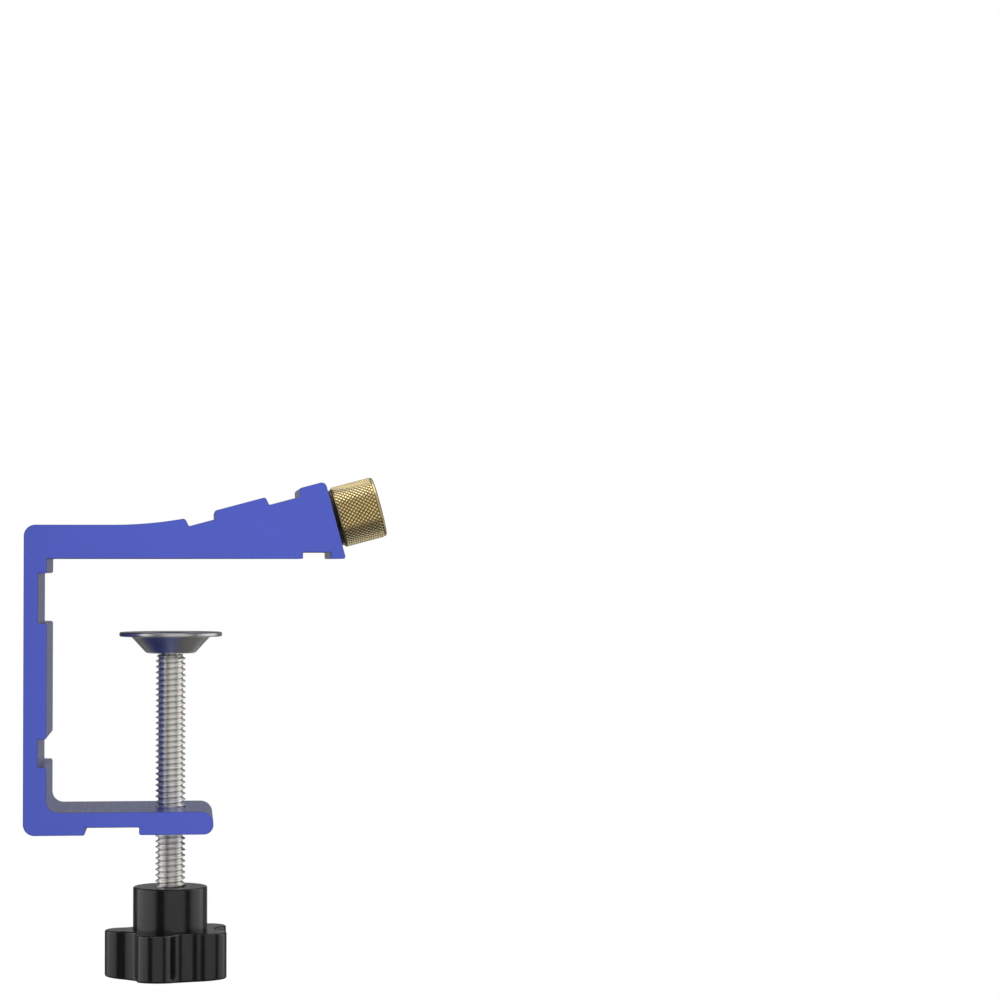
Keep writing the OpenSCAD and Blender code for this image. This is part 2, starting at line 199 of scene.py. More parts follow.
class JigPadLook(bpy.types.PropertyGroup):
    """Swivel pad and the washer that keeps it on the screw"""
    face: length("Face", -19.5, "Height of the pad's face")
    rise: length("Height", 5.66, "Height of the pad")
    sheet: length("Sheet", 1.2, "Thickness of the sheet")
    rim_r: length("Rim", 13.65, "Radius of the rim")
    cone_r: length("Cone", 10.55, "Outer radius of the cone under the flange")
    floor_r: length("Floor", 6.45, "Outer radius of the floor")
    hole_r: length("Hole", 2.9, "Radius of the hole for the neck")
    bend: length("Outer bend", 1.4, "Outer radius of the bends")
    inner_bend: length("Inner bend", 0.7, "Inner radius of the bends")
    rim_edge: length("Rim edge", 0.4, "Radius on the rim's edges")
    washer_low: length("Washer low", -23.66, "Height of the washer's underside")
    washer_t: length("Washer", 1.0, "Thickness of the washer")
    washer_r: length("Washer radius", 5.0, "Outer radius of the washer")
    washer_hole_r: length("Washer hole", 2.6, "Radius of the washer's hole")
    washer_edge: length("Washer edge", 0.15, "Radius on the washer's edges")
    nickel: colour("Nickel", "#B0AFAF", "Colour of the plated sheet")
    steel: colour("Steel", "#8E8D8A", "Colour of the plain washer")


class JigStageLook(bpy.types.PropertyGroup):
    """Floor, light and camera"""
    floor_z: length("Floor", -200.0, "Height of the floor")
    floor_r: length("Floor radius", 4000.0, "Radius of the floor")
    sky: FloatProperty(name="Sky", description="Soft light from all round", default=0.7, min=0)
    lens: FloatProperty(name="Lens", description="Focal length in millimetres", default=109.77, min=1)
    pitch: FloatProperty(name="Pitch", description="How far the camera looks up",
                         default=math.radians(1.194), subtype="ANGLE")
    yaw: FloatProperty(name="Yaw", description="How far the camera looks to the right",
                       default=math.radians(5.839), subtype="ANGLE")
    eye: FloatVectorProperty(name="Eye", description="Place of the camera",
                             default=(0.036567, -0.820497, -0.001227), subtype="TRANSLATION", precision=5)
    white: colour("White", "#FFFFFF", "Colour of the floor and of what is behind it")


LOOKS = {
    "jig_frame": JigFrameLook, "jig_bush": JigBushLook, "jig_screw": JigScrewLook,
    "jig_knob": JigKnobLook, "jig_pad": JigPadLook, "jig_stage": JigStageLook,
}


# Modelling by hand, in small steps

def deselect():
    """Leaves edit mode with nothing selected."""
    if bpy.context.mode != "OBJECT":
        bpy.ops.object.mode_set(mode="OBJECT")
    bpy.ops.object.select_all(action="DESELECT")


def only(obj):
    """Makes obj the one selected and active object."""
    deselect()
    obj.select_set(True)
    bpy.context.view_layer.objects.active = obj


def pick(obj, kind, test):
    """In edit mode, selects the verts, edges or faces that pass the test, and nothing else."""
    bpy.ops.mesh.select_mode(type={"verts": "VERT", "edges": "EDGE", "faces": "FACE"}[kind])
    bpy.ops.mesh.select_all(action="DESELECT")
    mesh = bmesh.from_edit_mesh(obj.data)
    for item in getattr(mesh, kind):
        if test(item):
            item.select_set(True)
    mesh.select_flush_mode()
    bmesh.update_edit_mesh(obj.data)


def modify(obj, kind, **settings):
    """Adds a modifier with its settings and applies it."""
    only(obj)
    modifier = obj.modifiers.new(kind.title(), kind)
    for key, value in settings.items():
        setattr(modifier, key, value)
    bpy.ops.object.modifier_apply(modifier=modifier.name)


def carve(obj, tool, operation):
    """Cuts or fuses obj with another object, which is used up, and closes the slivers that are left."""
    modify(obj, "BOOLEAN", operation=operation, object=tool, solver="EXACT")
    only(tool)
    bpy.ops.object.delete()
    only(obj)
    bpy.ops.object.mode_set(mode="EDIT")
    bpy.ops.mesh.select_all(action="SELECT")
    bpy.ops.mesh.dissolve_degenerate(threshold=SLIVER)
    bpy.ops.object.mode_set(mode="OBJECT")


def trace(name, points, closed=True):
    """Draws a line by extruding one vertex from point to point, and stays in edit mode."""
    deselect()
    bpy.ops.mesh.primitive_plane_add(size=MM, location=points[0])
    obj = bpy.context.object
    obj.name = name
    bpy.ops.object.transform_apply(location=True)
    bpy.ops.object.mode_set(mode="EDIT")
    bpy.ops.mesh.select_mode(type="VERT")
    bpy.ops.mesh.merge(type="CENTER")
    for here, there in zip(points, points[1:]):
        step = Vector(there) - Vector(here)
        bpy.ops.mesh.extrude_vertices_move(TRANSFORM_OT_translate={"value": step})
    if closed:
        pick(obj, "verts", lambda v: len(v.link_edges) == 1)
        bpy.ops.mesh.edge_face_add()
    bpy.ops.mesh.select_all(action="SELECT")
    return obj


def turn(name, profile, place, centre, axis, steps):
    """Turns a piece from its half section: (radius, height) pairs that place() puts into the frame.
    A section with both ends on the axis is left open there."""
    on_axis = profile[0][0] == 0 and profile[-1][0] == 0
    obj = trace(name, [place(r, h) for r, h in profile], closed=not on_axis)
    bpy.ops.mesh.spin(steps=steps, angle=2 * math.pi, center=centre, axis=axis)
    bpy.ops.mesh.select_all(action="SELECT")
    bpy.ops.mesh.remove_doubles(threshold=WELD)
    bpy.ops.mesh.normals_make_consistent(inside=False)
    bpy.ops.object.mode_set(mode="OBJECT")
    return obj


def turn_on_screw(name, profile, steps=96):
    """Turns a piece on the screw's axis."""
    axis_x = bpy.context.scene.jig_screw.axis_x
    return turn(name, profile, lambda r, h: (axis_x + r, 0, h), (axis_x, 0, 0), (0, 0, 1), steps)


def hexagon_on_screw(name, width, low, height):
    """Hexagon bar on the screw's axis, of this width across its flats."""
    deselect()
    bpy.ops.mesh.primitive_cylinder_add(
        vertices=6, radius=width / 2 / math.cos(HALF_FLAT), depth=height,
        location=(bpy.context.scene.jig_screw.axis_x, 0, low + height / 2), rotation=(0, 0, HALF_FLAT))
    obj = bpy.context.object
    obj.name = name
    bpy.ops.object.transform_apply(location=True, rotation=True)
    return obj


def rounded(corners, segments=6):
    """Closed line through (u, v, radius) corners, with each corner rounded to its radius."""
    line = []
    for i, (u, v, r) in enumerate(corners):
        at = Vector((u, v))
        if r == 0:
            line.append((u, v))
            continue
        before = (Vector(corners[i - 1][:2]) - at).normalized()
        after = (Vector(corners[(i + 1) % len(corners)][:2]) - at).normalized()
        half = before.angle(after) / 2
        centre = at + (before + after).normalized() * r / math.sin(half)
        start = at + before * r / math.tan(half) - centre
        sweep = start.angle_signed(at + after * r / math.tan(half) - centre)
        for k in range(segments + 1):
            spoke = start @ Matrix.Rotation(sweep * k / segments, 2)
            line.append(tuple(centre + spoke))
    return line


def solid_copy(node, name):
    """A merged copy of a packed node, with its flat faces whole."""
    only(frame["nodes"][node])
    bpy.ops.object.duplicate(linked=False)
    obj = bpy.context.object
    obj.name = name
    bpy.ops.object.parent_clear(type="CLEAR_KEEP_TRANSFORM")
    bpy.ops.object.mode_set(mode="EDIT")
    bpy.ops.mesh.select_all(action="SELECT")
    bpy.ops.mesh.remove_doubles(threshold=WELD)
    bpy.ops.mesh.dissolve_limited(angle_limit=math.radians(0.5))
    bpy.ops.object.mode_set(mode="OBJECT")
    return obj


def finish(obj, finish_material, body, node, smooth=30):
    """Shades a finished piece, gives it its material, hides its packed node and hangs it on its body."""
    only(obj)
    bpy.ops.object.shade_smooth_by_angle(angle=math.radians(smooth))
    obj.data.materials.clear()
    obj.data.materials.append(finish_material)
    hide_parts(node)
    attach(obj, body)


# Materials

def add_node(tree, kind, inputs=(), **settings):
    """Adds a node, sets its properties, then sets or links each (socket, value) of its inputs."""
    node = tree.nodes.new(kind)
    for key, value in settings.items():
        setattr(node, key, value)
    for socket, value in inputs:
        if isinstance(value, bpy.types.NodeSocket):
            tree.links.new(value, node.inputs[socket])
        else:
            node.inputs[socket].default_value = value
    return node


def new_material(name):
    """An empty node material with its output."""
    material = bpy.data.materials.new(name)
    material.use_nodes = True
    material.node_tree.nodes.clear()
    output = add_node(material.node_tree, "ShaderNodeOutputMaterial")
    return material, material.node_tree, output


def from_axis(tree, coords, point, axis):
    """Distance from an axis through a point: the length of what is square to it."""
    arm = add_node(tree, "ShaderNodeVectorMath", [
        (0, coords.outputs["Object"]), (1, point)], operation="SUBTRACT")
    across = add_node(tree, "ShaderNodeVectorMath", [
        (0, arm.outputs[0]), (1, axis)], operation="CROSS_PRODUCT")
    radius = add_node(tree, "ShaderNodeVectorMath", [(0, across.outputs[0])], operation="LENGTH")
    return radius.outputs["Value"]


def per_metre(spacing_mm):
    """Noise scale that repeats about every spacing_mm."""
    return 1 / (spacing_mm * MM)


def anodised_aluminium(look):
    """Blue anodised aluminium extrusion. The sawn ends are etched to an even satin; the drawn faces keep
    faint die lines along Y and mirror more at a low angle."""
    # The etched grain is coarser than the real one, so that it shows. The dye is uneven in wide clouds
    grain_mm = 0.35
    cloud_mm = 22
    material, tree, output = new_material("anodised_aluminium")
    coords = add_node(tree, "ShaderNodeTexCoord")
    # A sawn end looks along Y, a drawn face square to it, and the broken edge is what lies between
    normal = add_node(tree, "ShaderNodeSeparateXYZ", [("Vector", coords.outputs["Normal"])])
    facing = add_node(tree, "ShaderNodeMath", [(0, normal.outputs["Y"])], operation="ABSOLUTE")
    sawn = add_node(tree, "ShaderNodeMapRange", [
        ("Value", facing.outputs[0]), ("From Min", 0.9), ("From Max", 0.98)])
    drawn = add_node(tree, "ShaderNodeMapRange", [
        ("Value", facing.outputs[0]), ("From Min", 0.3), ("From Max", 0.1)])
    # Die lines run along Y, so the pattern is drawn out a hundred times that way
    drawn_out = add_node(tree, "ShaderNodeMapping", [
        ("Vector", coords.outputs["Object"]), ("Scale", (1, 0.01, 1))])
    lines = add_node(tree, "ShaderNodeTexNoise", [
        ("Vector", drawn_out.outputs[0]), ("Scale", per_metre(look.die_line / MM)), ("Detail", 3)])
    grain = add_node(tree, "ShaderNodeTexNoise", [
        ("Vector", coords.outputs["Object"]), ("Scale", per_metre(grain_mm)), ("Detail", 4)])
    cloud = add_node(tree, "ShaderNodeTexNoise", [
        ("Vector", coords.outputs["Object"]), ("Scale", per_metre(cloud_mm)), ("Detail", 2)])
    relief = add_node(tree, "ShaderNodeMix", [
        ("Factor", sawn.outputs[0]), ("A", lines.outputs["Fac"]), ("B", grain.outputs["Fac"])])
    # The broken edges get the deeper blue here, a dark reflection painted on them; the sawn ends keep the
    # anodised blue
    ends = add_node(tree, "ShaderNodeMix", [
        ("Factor", sawn.outputs[0]), ("A", tuple(look.broken_with_painted_shade)), ("B", tuple(look.anodised))],
        data_type="RGBA")
    # The drawn faces take the duller blue: the real dye with a painted grey reflection in it
    base = add_node(tree, "ShaderNodeMix", [
        ("Factor", drawn.outputs[0]), ("A", ends.outputs["Result"]), ("B", tuple(look.drawn))],
        data_type="RGBA")
    uneven = add_node(tree, "ShaderNodeMapRange", [
        ("Value", cloud.outputs["Fac"]), *NOISE_RANGE, ("To Min", 0.95), ("To Max", 1.04)])
    shade = add_node(tree, "ShaderNodeHueSaturation", [
        ("Color", base.outputs["Result"]), ("Value", uneven.outputs[0])])
    rough = add_node(tree, "ShaderNodeMapRange", [
        ("Value", relief.outputs[0]), *NOISE_RANGE, ("To Min", 0.36), ("To Max", 0.46)])
    # The drawn faces are smoother, so more of their light is the metal's own mirror
    metal = add_node(tree, "ShaderNodeMapRange", [
        ("Value", drawn.outputs[0]), ("To Min", 0.45), ("To Max", 0.85)])
    bump = add_node(tree, "ShaderNodeBump", [
        ("Height", relief.outputs[0]), ("Strength", 0.06), ("Distance", 0.02 * MM)])
    shader = add_node(tree, "ShaderNodeBsdfPrincipled", [
        ("Base Color", shade.outputs[0]), ("Metallic", metal.outputs[0]), ("Roughness", rough.outputs[0]),
        ("Coat Weight", 0.7), ("Coat Roughness", 0.2), ("Coat IOR", 1.6), ("Normal", bump.outputs[0])])
    tree.links.new(shader.outputs[0], output.inputs["Surface"])
    return material


def metal_surface(tree, output, coords, base, spot_mm, shade, rough):
    """Bare metal. Its shade and its roughness, each a pair of low and high, vary in spots of spot_mm."""
    spots = add_node(tree, "ShaderNodeTexNoise", [
        ("Vector", coords.outputs["Object"]), ("Scale", per_metre(spot_mm)), ("Detail", 4)])
    uneven = add_node(tree, "ShaderNodeMapRange", [
        ("Value", spots.outputs["Fac"]), *NOISE_RANGE, ("To Min", shade[0]), ("To Max", shade[1])])
    shaded = add_node(tree, "ShaderNodeHueSaturation", [("Color", base), ("Value", uneven.outputs[0])])
    dulled = add_node(tree, "ShaderNodeMapRange", [
        ("Value", spots.outputs["Fac"]), *NOISE_RANGE, ("To Min", rough[0]), ("To Max", rough[1])])
    shader = add_node(tree, "ShaderNodeBsdfPrincipled", [
        ("Base Color", shaded.outputs[0]), ("Metallic", 1), ("Roughness", dulled.outputs[0])])
    tree.links.new(shader.outputs[0], output.inputs["Surface"])


def turned_brass(look):
    """Turned and knurled brass, left bare: warm and bright on the diamonds, painted shade between them."""
    # Painted shade in the knurl's grooves: full just under the groove and gone at this share of the
    # knurl's rise
    under = 0.05 * MM
    shade_top_share = 0.6
    material, tree, output = new_material("turned_brass")
    coords = add_node(tree, "ShaderNodeTexCoord")
    seat = (look.seat_x, 0, look.seat_z)
    axis = (math.cos(look.lean), 0, math.sin(look.lean))
    shade_fade = add_node(tree, "ShaderNodeMapRange", [
        ("Value", from_axis(tree, coords, seat, axis)), ("From Min", look.groove_r - under),
        ("From Max", look.groove_r + shade_top_share * look.knurl_rise)])
    base = add_node(tree, "ShaderNodeMix", [
        ("Factor", shade_fade.outputs[0]), ("A", tuple(look.painted_groove_shade)), ("B", tuple(look.brass))],
        data_type="RGBA")
    metal_surface(tree, output, coords, base.outputs["Result"],
                  spot_mm=2.4, shade=(0.88, 1.06), rough=(0.14, 0.24))
    return material


def zinc_plated_steel(look):
    """Zinc on a rolled thread: a soft bright sheen on the crests, darker in the root as painted shade."""
    # Painted shade fills the thread to this share of its depth
    root_shade_share = 0.25
    material, tree, output = new_material("zinc_plated_steel")
    coords = add_node(tree, "ShaderNodeTexCoord")
    depth = look.thread_r - look.core_r
    root = add_node(tree, "ShaderNodeMapRange", [
        ("Value", from_axis(tree, coords, (look.axis_x, 0, 0), (0, 0, 1))),
        ("From Min", look.core_r + root_shade_share * depth), ("From Max", look.core_r)])
    place = add_node(tree, "ShaderNodeSeparateXYZ", [("Vector", coords.outputs["Object"])])
    # One between the knob and the shoulder, nothing on the neck and the head
    middle = (look.boss_top + look.shoulder) / 2
    threaded = add_node(tree, "ShaderNodeMath", [
        (0, place.outputs["Z"]), (1, middle), (2, look.shoulder - middle)], operation="COMPARE")
    # The painted shade in the root, on the thread only
    shaded_root = add_node(tree, "ShaderNodeMath", [
        (0, root.outputs[0]), (1, threaded.outputs[0])], operation="MULTIPLY")
    base = add_node(tree, "ShaderNodeMix", [
        ("Factor", shaded_root.outputs[0]), ("A", tuple(look.zinc)), ("B", tuple(look.painted_root_shade))],
        data_type="RGBA")
    metal_surface(tree, output, coords, base.outputs["Result"],
                  spot_mm=1.2, shade=(0.93, 1.04), rough=(0.28, 0.4))
    return material


def plain_metal(name, base_colour, spot_mm, rough):
    """Plated or bare steel: an even sheen that is a little duller in spots of spot_mm."""
    material, tree, output = new_material(name)
    coords = add_node(tree, "ShaderNodeTexCoord")
    metal_surface(tree, output, coords, tuple(base_colour), spot_mm, shade=(0.93, 1.04), rough=rough)
    return material


def moulded_plastic(look):
    """Black thermoplastic from a polished mould: glossy, with the slight waviness of a moulding."""
    wave_mm = 6
    smudge_mm = 1.6
    material, tree, output = new_material("moulded_plastic")
    coords = add_node(tree, "ShaderNodeTexCoord")
    waves = add_node(tree, "ShaderNodeTexNoise", [
        ("Vector", coords.outputs["Object"]), ("Scale", per_metre(wave_mm)), ("Detail", 2)])
    smudges = add_node(tree, "ShaderNodeTexNoise", [
        ("Vector", coords.outputs["Object"]), ("Scale", per_metre(smudge_mm)), ("Detail", 5)])
    rough = add_node(tree, "ShaderNodeMapRange", [
        ("Value", smudges.outputs["Fac"]), *NOISE_RANGE, ("To Min", 0.17), ("To Max", 0.26)])
    bump = add_node(tree, "ShaderNodeBump", [
        ("Height", waves.outputs["Fac"]), ("Strength", 0.08), ("Distance", 0.2 * MM)])
    shader = add_node(tree, "ShaderNodeBsdfPrincipled", [
        ("Base Color", tuple(look.black)), ("Roughness", rough.outputs[0]), ("IOR", 1.46),
        ("Normal", bump.outputs[0])])
    tree.links.new(shader.outputs[0], output.inputs["Surface"])
    return material


# Pieces

class JIG_OT_clamp_frame(bpy.types.Operator):
    """Makes the blue clamp frame with its broken edges"""
    bl_idname = "jig.clamp_frame"
    bl_label = "Clamp frame"

    def execute(self, context):
        look = context.scene.jig_frame
        obj = solid_copy("clamp_frame", "frame_extrusion")
        modify(obj, "BEVEL", width=look.edge, segments=2, limit_method="ANGLE",
               angle_limit=math.radians(35), use_clamp_overlap=False)
        finish(obj, anodised_aluminium(look), "frame", "clamp_frame")
        modify(obj, "WEIGHTED_NORMAL", weight=100, keep_sharp=True)
        return {"FINISHED"}


class JIG_OT_drill_bush(bpy.types.Operator):
    """Makes the brass drill bush with its diamond knurl"""
    bl_idname = "jig.drill_bush"
    bl_label = "Drill bush"

    def execute(self, context):
        look = context.scene.jig_bush
        seat = Vector((look.seat_x, 0, look.seat_z))
        axis = Vector((math.cos(look.lean), 0, math.sin(look.lean)))
        side = Vector((-axis.z, 0, axis.x))
        head = look.head_l
        # The knurl starts a step past the collar and ends where the rim starts to round
        step = 0.2 * MM
        band_low = look.collar_l + step
        band_high = head - look.rim_r
        row = (band_high - band_low) / look.knurl_rows
        # The rim's side lies half way up the diamonds, with a narrow flat before it rounds
        rim_side_r = look.groove_r + 0.5 * look.knurl_rise
        rim_round = 0.9 * look.rim_r
        outside = [(look.sleeve_r, -look.sleeve_l), (look.sleeve_r, 0), (look.collar_low_r, 0),
                   (look.collar_r, look.collar_l)]
        outside += [(look.groove_r, band_low + row * k) for k in range(look.knurl_rows + 1)]
        rim = rounded([
            (rim_side_r, band_high, 0), (rim_side_r, head, rim_round),
            (look.bore_r + look.lead_in, head, 0)])
        inside = [(look.bore_r, head - look.lead_in), (look.bore_r, -look.sleeve_l)]
        obj = turn("bush_knurled", outside + rim + inside, lambda r, t: seat + side * r + axis * t,
                   seat, axis, look.knurl_round)
        self.knurl(obj, look, seat, axis, band_low, band_high)
        finish(obj, turned_brass(look), "frame", "guide_bush", smooth=24)
        return {"FINISHED"}

    def knurl(self, obj, look, seat, axis, band_low, band_high):
        """Splits the band into diamonds, each with its own raised flat."""
        near = 0.1 * MM

        def in_band(face):
            arm = face.calc_center_median() - seat
            along = arm.dot(axis)
            out = (arm - axis * along).length
            return band_low < along < band_high and abs(out - look.groove_r) < near

        only(obj)
        bpy.ops.object.mode_set(mode="EDIT")
        pick(obj, "faces", in_band)
        corners = len(bmesh.from_edit_mesh(obj.data).verts)
        bpy.ops.mesh.poke()
        bmesh.from_edit_mesh(obj.data).verts.index_update()
        pick(obj, "edges", lambda e: len(e.link_faces) == 2 and all(v.index < corners for v in e.verts)
             and all(in_band(f) and len(f.verts) == 3 for f in e.link_faces))
        bpy.ops.mesh.dissolve_edges(use_verts=False)
        pick(obj, "faces", lambda f: in_band(f) and len(f.verts) == 4)
        bpy.ops.mesh.inset(thickness=look.knurl_wall, depth=look.knurl_rise, use_individual=True)
        bpy.ops.object.mode_set(mode="OBJECT")


class JIG_OT_clamp_screw(bpy.types.Operator):
    """Makes the clamp screw with its thread, hexagon head and peened end"""
    bl_idname = "jig.clamp_screw"
    bl_label = "Clamp screw"

    def execute(self, context):
        look = context.scene.jig_screw
        obj = self.thread(look)
        for part in (self.neck(look), self.shank(look), self.head(look)):
            carve(obj, part, "UNION")
        finish(obj, zinc_plated_steel(look), "screw", "clamp_screw", smooth=50)
        return {"FINISHED"}

    def thread(self, look):
        """One turn of the thread, wound up the axis, then cut to length and chamfered."""
        pitch = look.pitch
        depth = look.thread_r - look.core_r
        # Two turns reach into the knob. The winding starts below them and ends above the shoulder
        low = look.boss_top - 2 * pitch
        high = look.shoulder
        base = low - 1.5 * pitch - look.start
        spare_turns = 4
        turns = math.ceil((high - low) / pitch) + spare_turns
        steps = 40
        # A rolled thread, in shares of the pitch and the depth: straight flanks between a narrow flat
        # crest and a rounded root
        shape = [(0, 0), (0.08, 0.02), (0.16, 0.12), (0.42, 0.9), (0.46, 1),
                 (0.54, 1), (0.58, 0.9), (0.84, 0.12), (0.92, 0.02), (1, 0)]
        line = [(look.core_r + depth * out, 0, base + pitch * up) for up, out in shape]
        obj = trace("screw_zinc", line, closed=False)
        modify(obj, "SCREW", angle=2 * math.pi, screw_offset=pitch, iterations=turns, steps=steps,
               render_steps=steps, axis="Z", use_merge_vertices=True, merge_threshold=WELD)
        bpy.ops.transform.translate(value=(look.axis_x, 0, 0))
        bpy.ops.object.transform_apply(location=True)
        bpy.ops.object.mode_set(mode="EDIT")
        bpy.ops.mesh.select_all(action="SELECT")
        bpy.ops.mesh.remove_doubles(threshold=WELD)
        for height, way in ((low, -1), (high, 1)):
            bpy.ops.mesh.select_all(action="SELECT")
            bpy.ops.mesh.bisect(plane_co=(0, 0, height), plane_no=(0, 0, way), use_fill=True,
                                clear_outer=True, threshold=WELD)
        bpy.ops.mesh.select_all(action="SELECT")
        bpy.ops.mesh.normals_make_consistent(inside=False)
        # The end is chamfered at 45 degrees, by a blank that is a margin wider than the thread
        wide = look.thread_r + 0.5 * MM
        blank = turn_on_screw("screw_blank", [
            (0, low - pitch), (wide, low - pitch), (wide, high - (wide - look.end_r)), (look.end_r, high),
            (0, high)])
        carve(obj, blank, "INTERSECT")
        return obj

    def neck(self, look):
        """Neck and peened end above the shoulder, sunk a little into the thread."""
        sunk = look.shoulder - MM
        top = look.peen_low + look.peen_h
        peen = rounded([
            (0, sunk, 0), (look.neck_r, sunk, 0), (look.neck_r, look.peen_low, 0),
            (look.peen_r, look.peen_low, 0), (look.peen_r, top, look.peen_edge), (0, top, 0)])
        return turn_on_screw("screw_neck", peen, steps=48)

    def shank(self, look):
        """Plain shank inside the knob, a little thinner than the thread."""
        shank_r = 0.97 * look.thread_r
        low = look.hex_low + MM
        high = look.boss_top - MM
        return turn_on_screw("screw_shank", [
            (0, low), (shank_r, low), (shank_r, high), (0, high)], steps=48)

    def head(self, look):
        """Hexagon head, turned to a chamfer of 30 degrees on its outer face."""
        low = look.hex_low
        high = low + look.hex_h + MM
        obj = hexagon_on_screw("screw_head", look.hex_w, low, look.hex_h)
        # The turned face is a little narrower than the flats, so that the chamfer touches them too
        face_r = 0.95 * look.hex_w / 2
        slope = math.tan(math.radians(30))
        wide = look.hex_w / 2 / math.cos(HALF_FLAT) + MM
        blank = turn_on_screw("head_blank", [
            (0, low), (face_r, low), (wide, low + (wide - face_r) * slope), (wide, high), (0, high)])
        carve(obj, blank, "INTERSECT")
        return obj


class JIG_OT_knob(bpy.types.Operator):
    """Makes the black knob with its lobes and boss"""
    bl_idname = "jig.knob"
    bl_label = "Knob"

    def execute(self, context):
        look = context.scene.jig_knob
        screw = context.scene.jig_screw
        obj = self.grip(look, screw)
        carve(obj, self.boss(look, screw), "UNION")
        carve(obj, self.shank_hole(look, screw), "DIFFERENCE")
        finish(obj, moulded_plastic(look), "screw", "knob", smooth=35)
        modify(obj, "WEIGHTED_NORMAL", weight=100, keep_sharp=True)
        return {"FINISHED"}

    def outline(self, look, axis_x):
        """Line round the lobes and the hollows, on the lower cone, with one lobe towards the fence."""
        # Steps in half a lobe and half a hollow
        lobe_steps = 12
        hollow_steps = 7

        def polar(r, angle):
            return Vector((math.cos(angle), math.sin(angle))) * r

        half = math.pi / look.lobes
        lobe_ring = look.lobe_reach - look.lobe_r
        rise = math.sqrt((look.lobe_r + look.hollow_r) ** 2 - (lobe_ring * math.sin(half)) ** 2)
        hollow_ring = lobe_ring * math.cos(half) + rise
        hollow_half = math.atan2(lobe_ring * math.sin(half), rise)
        lobe_half = half + hollow_half
        line = []
        for i in range(look.lobes):
            out = math.pi + 2 * half * i
            lobe = polar(lobe_ring, out)
            hollow = polar(hollow_ring, out + half)
            line += [lobe + polar(look.lobe_r, out + lobe_half * (k / lobe_steps - 1))
                     for k in range(2 * lobe_steps + 1)]
            back = out + half + math.pi
            line += [hollow + polar(look.hollow_r, back + hollow_half * (1 - k / hollow_steps))
                     for k in range(1, 2 * hollow_steps)]
        slope = look.crown / (look.lobe_reach - look.crown_flat_r)
        return [(axis_x + p.x, p.y, look.lobe_low + (p.length - look.lobe_reach) * slope) for p in line]

    def grip(self, look, screw):
        """Lobed grip with its conical lower end, rounded edges and the pocket for the head."""
        low = look.lobe_low - look.crown
        line = self.outline(look, screw.axis_x)
        obj = trace("knob_moulded", line)
        bpy.ops.mesh.extrude_region_move(TRANSFORM_OT_translate={"value": (0, 0, look.lobe_top - low)})
        # The upper line is pressed flat and closed, the lower one is joined to the flat inside the cone
        bpy.ops.transform.resize(value=(1, 1, 0), center_override=(screw.axis_x, 0, look.lobe_top))
        bpy.ops.mesh.edge_face_add()
        bpy.ops.mesh.primitive_circle_add(
            vertices=len(line), radius=look.crown_flat_r, location=(screw.axis_x, 0, low))
        pick(obj, "edges", lambda e: len(e.link_faces) < 2)
        bpy.ops.mesh.bridge_edge_loops()
        pick(obj, "edges", lambda e: len(e.link_faces) == 1)
        bpy.ops.mesh.edge_face_add()
        bpy.ops.mesh.select_all(action="SELECT")
        bpy.ops.mesh.normals_make_consistent(inside=False)
        modify(obj, "BEVEL", width=look.lobe_edge, segments=3, limit_method="ANGLE",
               angle_limit=math.radians(50), use_clamp_overlap=False)
        pocket_h = screw.hex_low + screw.hex_h - low + MM
        pocket = hexagon_on_screw("knob_pocket", screw.hex_w + 2 * look.pocket_gap, low - MM, pocket_h)
        carve(obj, pocket, "DIFFERENCE")
        return obj

    def boss(self, look, screw):
        """Tall boss round the screw, sunk a little into the grip."""
        sunk = look.lobe_top - MM
        return turn_on_screw("knob_boss", rounded([
            (0, sunk, 0), (look.boss_r, sunk, 0), (look.boss_r, screw.boss_top, look.boss_edge),
            (0, screw.boss_top, 0)]), steps=112)

    def shank_hole(self, look, screw):
        """Hole for the screw, from the pocket to the top of the boss, with a small flare there."""
        flare = 0.6 * look.boss_edge
        low = screw.hex_low
        high = screw.boss_top
        return turn_on_screw("knob_hole", [
            (0, low), (look.shank_r, low), (look.shank_r, high - flare), (look.shank_r + flare, high),
            (look.shank_r + flare, high + MM), (0, high + MM)], steps=64)


class JIG_OT_swivel_pad(bpy.types.Operator):
    """Makes the pressed steel dish on top of the screw"""
    bl_idname = "jig.swivel_pad"
    bl_label = "Swivel pad"

    def execute(self, context):
        look = context.scene.jig_pad
        low = look.face - look.rise
        floor_top = low + look.sheet
        flange_low = look.face - look.sheet
        # Sideways thickness of the sheet on the cone, and how far its inner line is set in
        slope = math.atan2(look.rise - look.sheet, look.cone_r - look.floor_r)
        set_in = look.sheet / math.sin(slope) - look.sheet / math.tan(slope)
        obj = turn_on_screw("pad_pressed", rounded([
            (look.hole_r, low, 0), (look.floor_r, low, look.bend),
            (look.cone_r, flange_low, look.inner_bend), (look.rim_r, flange_low, look.rim_edge),
            (look.rim_r, look.face, look.rim_edge), (look.cone_r - set_in, look.face, look.bend),
            (look.floor_r - set_in, floor_top, look.inner_bend), (look.hole_r, floor_top, 0)]), steps=128)
        nickel = plain_metal("nickel_plated_sheet", look.nickel, spot_mm=3.0, rough=(0.28, 0.36))
        finish(obj, nickel, "pad", "swivel_pad", smooth=40)
        return {"FINISHED"}


class JIG_OT_retaining_washer(bpy.types.Operator):
    """Makes the washer that keeps the pad on the screw"""
    bl_idname = "jig.retaining_washer"
    bl_label = "Retaining washer"

    def execute(self, context):
        look = context.scene.jig_pad
        low = look.washer_low
        high = low + look.washer_t
        edge = look.washer_edge
        obj = turn_on_screw("washer_steel", rounded([
            (look.washer_hole_r, low, edge), (look.washer_r, low, edge), (look.washer_r, high, edge),
            (look.washer_hole_r, high, edge)], segments=2), steps=64)
        steel = plain_metal("bare_steel", look.steel, spot_mm=0.8, rough=(0.3, 0.45))
        finish(obj, steel, "carriage", "retaining_washer")
        return {"FINISHED"}


